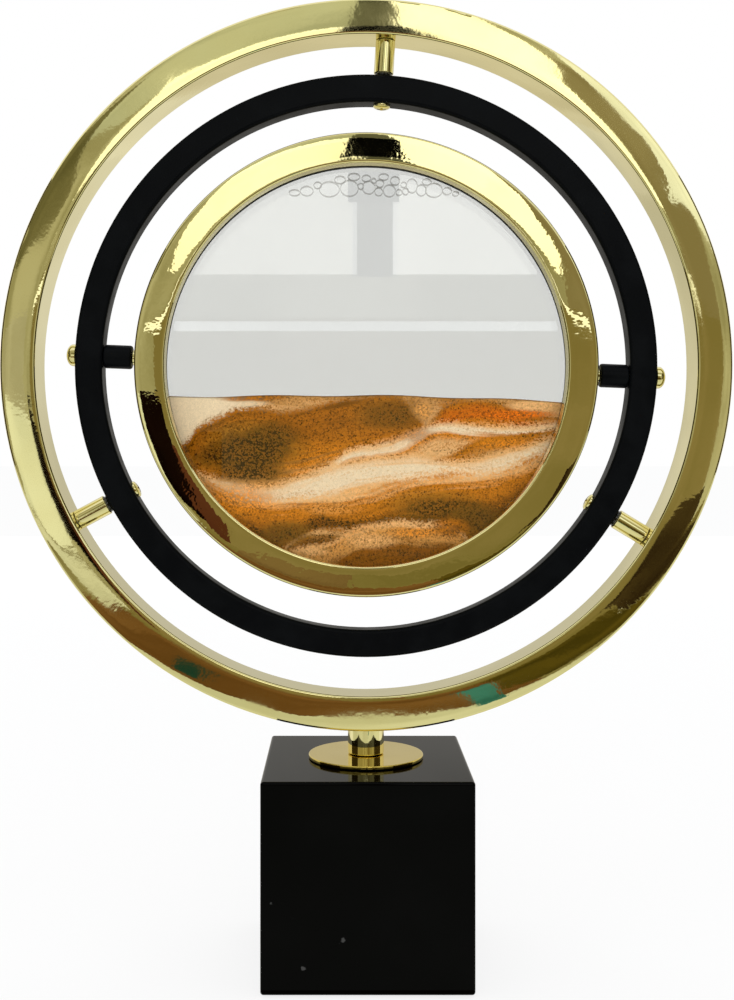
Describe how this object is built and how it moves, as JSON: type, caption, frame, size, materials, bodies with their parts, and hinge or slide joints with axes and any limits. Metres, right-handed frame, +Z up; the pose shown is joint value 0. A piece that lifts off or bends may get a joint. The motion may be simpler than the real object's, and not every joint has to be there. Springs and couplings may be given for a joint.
{
  "type": "moving sand art frame",
  "caption": "Round glass sand cell in a gold frame that turns over on side pivots inside a black ring and a gold ring, on a square black stone base.",
  "frame": {"origin": "centre of the underside of the base, on the surface it stands on", "axes": "+Z up, +X to the right seen from the front, the front of the sand frame faces -Y"},
  "size_m": [0.2896, 0.08, 0.3817],
  "materials": {
    "felt": "pressed grey felt",
    "black_marble": "polished black marble with small pale flecks",
    "zinc_steel": "zinc plated",
    "polished_gold": "mirror polished gold plate",
    "black_coat": "satin black powder coat",
    "frame_gold": "mirror polished gold plate",
    "black_rubber": "matt black sealant",
    "pale_rubber": "pale grey silicone",
    "clear_glass": "clear polished float glass",
    "dark_sand": "orange sand mixed with black grains",
    "cream_sand": "fine cream sand",
    "amber_sand": "orange sand with brown grains",
    "clear_liquid": "clear water"
  },
  "bodies": {
    "stand": {"base_pad": "felt", "base_block": "black_marble", "base_washer": "zinc_steel", "base_bolt": "zinc_steel", "flange_plate": "polished_gold", "post": "polished_gold", "outer_ring": "polished_gold", "standoff_top": "polished_gold", "standoff_left": "polished_gold", "standoff_right": "polished_gold", "standoff_screw_top": "polished_gold", "standoff_screw_left": "polished_gold", "standoff_screw_right": "polished_gold", "middle_ring": "black_coat", "pivot_sleeve_left": "black_coat", "pivot_sleeve_right": "black_coat"},
    "sand_frame": {"pivot_washer_left": "polished_gold", "pivot_washer_right": "polished_gold", "pivot_screw_left": "polished_gold", "pivot_screw_right": "polished_gold", "frame_ring": "frame_gold", "retaining_ring": "frame_gold", "front_seal": "black_rubber", "front_glass": "clear_glass", "cell_spacer": "pale_rubber", "fill_plug": "pale_rubber", "rear_glass": "clear_glass", "rear_seal": "black_rubber", "sand_dark": "dark_sand", "sand_cream": "cream_sand", "sand_amber": "amber_sand", "liquid": "clear_liquid"}
  },
  "joints": [
    {"name": "frame_flip", "type": "hinge", "parent": "stand", "child": "sand_frame", "pos_m": [0, 0, 0.2369], "axis": [0.9993, 0, -0.0384], "continuous": true}
  ]
}
